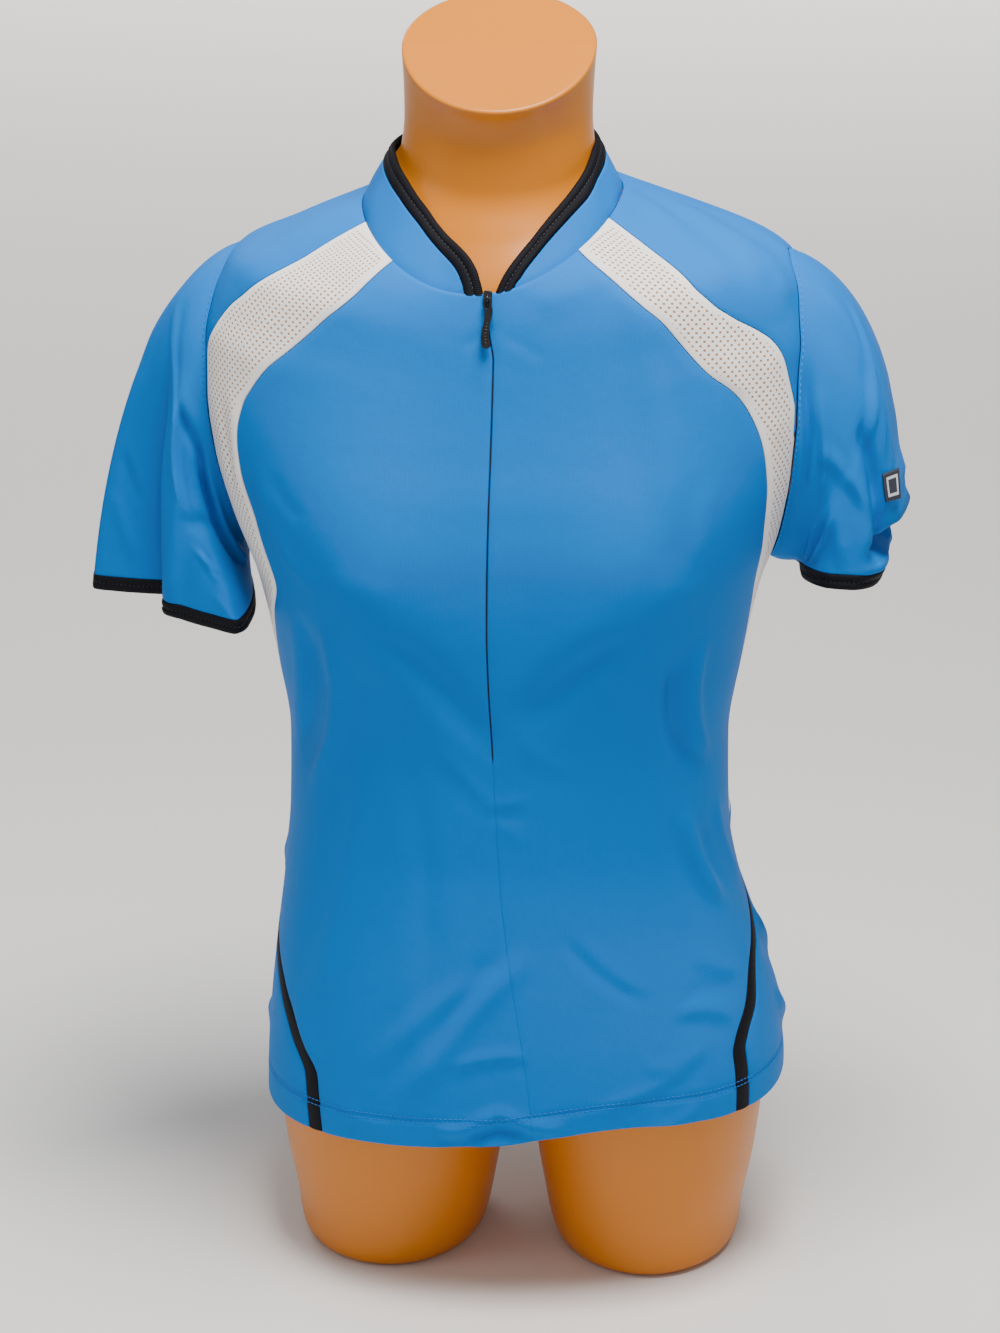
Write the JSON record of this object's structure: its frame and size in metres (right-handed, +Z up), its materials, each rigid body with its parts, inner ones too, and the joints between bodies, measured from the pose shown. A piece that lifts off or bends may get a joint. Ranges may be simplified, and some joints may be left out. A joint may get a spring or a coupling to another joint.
{
  "type": "cycling jersey on a dress form",
  "caption": "Women's short-sleeved cycling jersey with a half zip, mesh inserts and black bindings, worn by a limbless dress form that stands on its thigh stumps.",
  "frame": {"origin": "on the surface that the stumps stand on, below the middle of the whole outline seen from above", "axes": "+Z up, the front faces -Y, +X is the wearer's left, on the right of the front view"},
  "size_m": [0.4825, 0.2413, 0.7675],
  "materials": {
    "blue_jersey": "smooth matt polyester knit with a faint sheen",
    "white_mesh": "fine pin-holed mesh knit",
    "black_binding": "soft ribbed elastic tape",
    "black_zip": "moulded",
    "tan_plastic": "satin moulded shell"
  },
  "bodies": {
    "jersey_and_form": {"front_left": "blue_jersey", "front_right": "blue_jersey", "mesh_left": "white_mesh", "mesh_right": "white_mesh", "shoulder_left": "blue_jersey", "shoulder_right": "blue_jersey", "back": "blue_jersey", "side_stripe_left": "black_binding", "side_stripe_right": "black_binding", "sleeve_left": "blue_jersey", "sleeve_right": "blue_jersey", "cuff_binding_left": "black_binding", "cuff_binding_right": "black_binding", "collar": "blue_jersey", "collar_binding": "black_binding", "zip_tape": "black_zip", "zip_slider": "black_zip", "sleeve_patch": "black_binding", "dress_form": "tan_plastic"},
    "zip_pull": {"zip_pull": "black_zip"}
  },
  "joints": [
    {"name": "zip_pull_hinge", "type": "hinge", "parent": "jersey_and_form", "child": "zip_pull", "pos_m": [-0.00089, -0.08249, 0.62565], "axis": [-1, 0, 0], "range_deg": [0, 150]}
  ]
}
